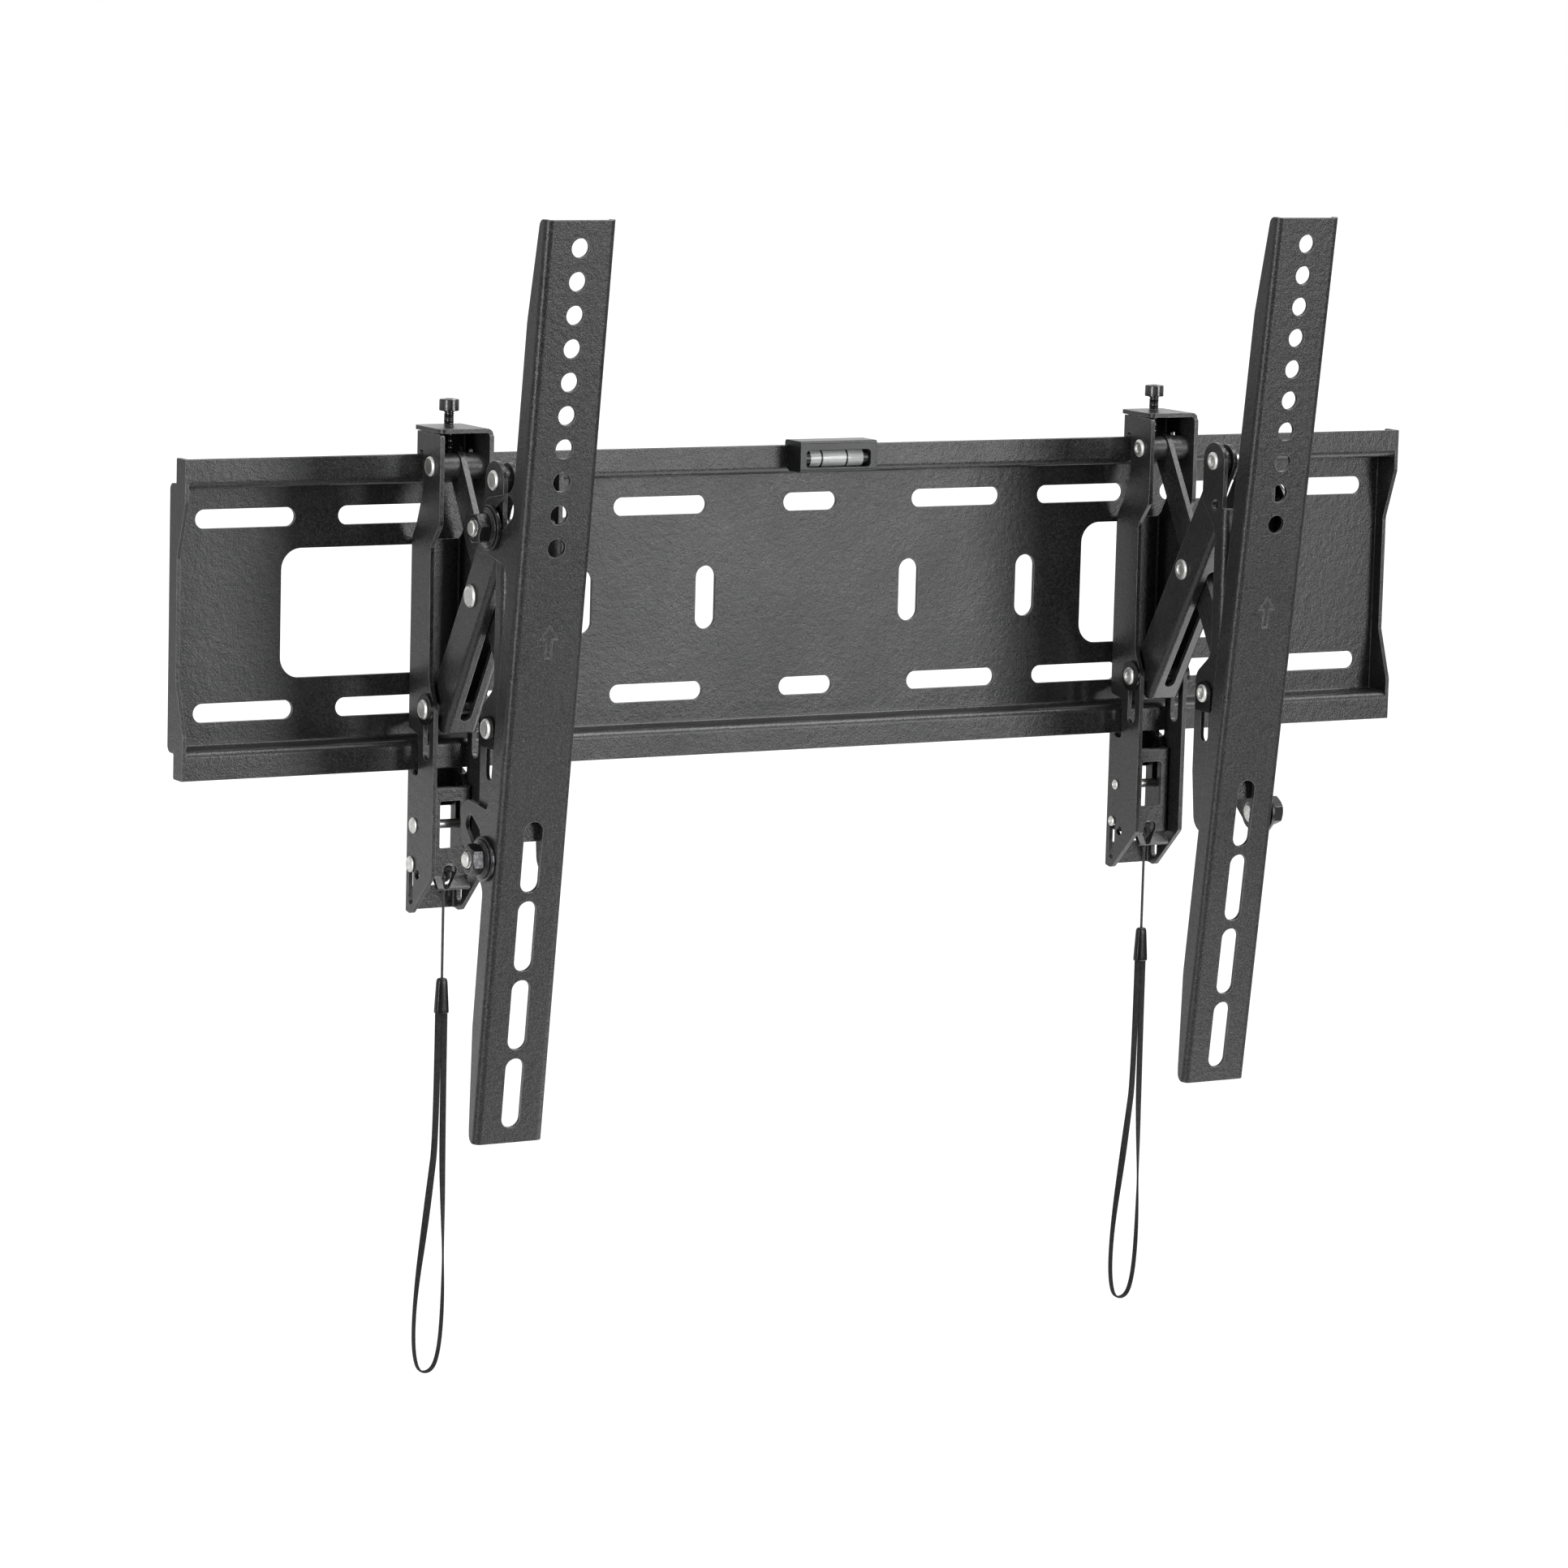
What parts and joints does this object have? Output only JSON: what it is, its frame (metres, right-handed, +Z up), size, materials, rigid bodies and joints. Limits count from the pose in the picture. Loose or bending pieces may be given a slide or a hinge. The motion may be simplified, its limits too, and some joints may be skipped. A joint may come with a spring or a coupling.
{
  "type": "tilting tv wall bracket",
  "caption": "Black folded-steel wall plate with two hook-on arms that fold on scissor links, tilting slotted rails for a television, pull-cord latches and a spirit level.",
  "frame": {"origin": "centre of the wall plate's back face, where it meets the wall", "axes": "+X along the plate to the right as seen from the room, +Y into the wall, +Z up"},
  "size_m": [0.681, 0.1476, 0.5593],
  "materials": {
    "powder_coat": "fine textured black powder coat",
    "black_steel": "black steel sleeve",
    "zinc": "bright zinc rivet",
    "nut_steel": "dark bright nut",
    "stack_washer": "black washers with bright edges",
    "black_screw": "black socket screw",
    "spring_wire": "dark spring wire",
    "black_plastic": "moulded black",
    "level_plastic": "smoky moulded housing",
    "level_glass": "clear vial",
    "string_black": "thin black string",
    "strap_braid": "black braided strap"
  },
  "bodies": {
    "root": {"wall_plate": "powder_coat", "level_housing": "level_plastic", "level_vial": "level_glass"},
    "left_hook": {"left_hook_bracket": "powder_coat", "left_upper_back_pin": "zinc", "left_upper_back_spacers": "black_steel", "left_latch_guide_pin": "zinc", "left_latch_spring": "spring_wire"},
    "left_screw": {"left_height_screw": "black_screw"},
    "left_inner_arm": {"left_inner_arm": "powder_coat", "left_centre_rivet": "zinc", "left_lower_front_pin": "zinc", "left_lower_front_washers": "black_plastic", "left_lower_front_spacers": "black_steel"},
    "left_outer_arm": {"left_outer_arm": "powder_coat", "left_lower_back_pin": "zinc", "left_lower_back_washers": "black_plastic"},
    "left_carrier": {"left_tilt_carrier": "powder_coat", "left_upper_front_pin": "zinc", "left_upper_front_spacers": "black_steel", "left_tilt_bolts": "zinc", "left_tilt_washers": "stack_washer", "left_tilt_nuts": "nut_steel"},
    "left_rail": {"left_tv_rail": "powder_coat"},
    "left_latch": {"left_latch": "powder_coat", "left_latch_pin": "zinc", "left_pull_string": "string_black", "left_pull_ferrule": "black_plastic", "left_pull_loop": "strap_braid"},
    "right_hook": {"right_hook_bracket": "powder_coat", "right_upper_back_pin": "zinc", "right_upper_back_spacers": "black_steel", "right_latch_guide_pin": "zinc", "right_latch_spring": "spring_wire"},
    "right_screw": {"right_height_screw": "black_screw"},
    "right_inner_arm": {"right_inner_arm": "powder_coat", "right_centre_rivet": "zinc", "right_lower_front_pin": "zinc", "right_lower_front_washers": "black_plastic", "right_lower_front_spacers": "black_steel"},
    "right_outer_arm": {"right_outer_arm": "powder_coat", "right_lower_back_pin": "zinc", "right_lower_back_washers": "black_plastic"},
    "right_carrier": {"right_tilt_carrier": "powder_coat", "right_upper_front_pin": "zinc", "right_upper_front_spacers": "black_steel", "right_tilt_bolts": "zinc", "right_tilt_washers": "stack_washer", "right_tilt_nuts": "nut_steel"},
    "right_rail": {"right_tv_rail": "powder_coat"},
    "right_latch": {"right_latch": "powder_coat", "right_latch_pin": "zinc", "right_pull_string": "string_black", "right_pull_ferrule": "black_plastic", "right_pull_loop": "strap_braid"}
  },
  "joints": [
    {"name": "left_bracket_slide", "type": "slide", "parent": "root", "child": "left_hook", "axis": [1, 0, 0], "range_m": [-0.1, 0.15]},
    {"name": "left_screw_turn", "type": "hinge", "parent": "left_hook", "child": "left_screw", "pos_m": [-0.2053, -0.016, 0.0881], "axis": [0, 0, 1], "continuous": true},
    {"name": "left_fold", "type": "hinge", "parent": "left_hook", "child": "left_inner_arm", "pos_m": [-0.2053, -0.0265, 0.07], "axis": [1, 0, 0], "range_deg": [0, 18.9]},
    {"name": "left_cross", "type": "hinge", "parent": "left_inner_arm", "child": "left_outer_arm", "pos_m": [-0.2053, -0.06091, 0.01251], "axis": [1, 0, 0], "range_deg": [-37.8, 0]},
    {"name": "left_carrier_swing", "type": "hinge", "parent": "left_outer_arm", "child": "left_carrier", "pos_m": [-0.2053, -0.09531, 0.07], "axis": [1, 0, 0], "range_deg": [0, 18.9]},
    {"name": "left_tilt", "type": "hinge", "parent": "left_carrier", "child": "left_rail", "pos_m": [-0.2053, -0.15573, -0.02153], "axis": [1, 0, 0], "range_deg": [-12, 0]},
    {"name": "left_latch_pull", "type": "slide", "parent": "left_hook", "child": "left_latch", "axis": [0, 0, -1], "range_m": [0, 0.017], "stiffness_N_per_m": 400, "springref_m": -0.006, "deforming": ["left_latch_spring"]},
    {"name": "right_bracket_slide", "type": "slide", "parent": "root", "child": "right_hook", "axis": [1, 0, 0], "range_m": [-0.14, 0.12]},
    {"name": "right_screw_turn", "type": "hinge", "parent": "right_hook", "child": "right_screw", "pos_m": [0.1899, -0.016, 0.0881], "axis": [0, 0, 1], "continuous": true},
    {"name": "right_fold", "type": "hinge", "parent": "right_hook", "child": "right_inner_arm", "pos_m": [0.1899, -0.0265, 0.07], "axis": [1, 0, 0], "range_deg": [0, 18.9]},
    {"name": "right_cross", "type": "hinge", "parent": "right_inner_arm", "child": "right_outer_arm", "pos_m": [0.1899, -0.06091, 0.01251], "axis": [1, 0, 0], "range_deg": [-37.8, 0]},
    {"name": "right_carrier_swing", "type": "hinge", "parent": "right_outer_arm", "child": "right_carrier", "pos_m": [0.1899, -0.09531, 0.07], "axis": [1, 0, 0], "range_deg": [0, 18.9]},
    {"name": "right_tilt", "type": "hinge", "parent": "right_carrier", "child": "right_rail", "pos_m": [0.1899, -0.15573, -0.02153], "axis": [1, 0, 0], "range_deg": [-12, 0]},
    {"name": "right_latch_pull", "type": "slide", "parent": "right_hook", "child": "right_latch", "axis": [0, 0, -1], "range_m": [0, 0.017], "stiffness_N_per_m": 400, "springref_m": -0.006, "deforming": ["right_latch_spring"]}
  ],
  "couplings": [
    {"joint": "left_cross", "follows": "left_fold", "ratio": -2},
    {"joint": "left_carrier_swing", "follows": "left_fold", "ratio": 1},
    {"joint": "right_cross", "follows": "right_fold", "ratio": -2},
    {"joint": "right_carrier_swing", "follows": "right_fold", "ratio": 1}
  ]
}
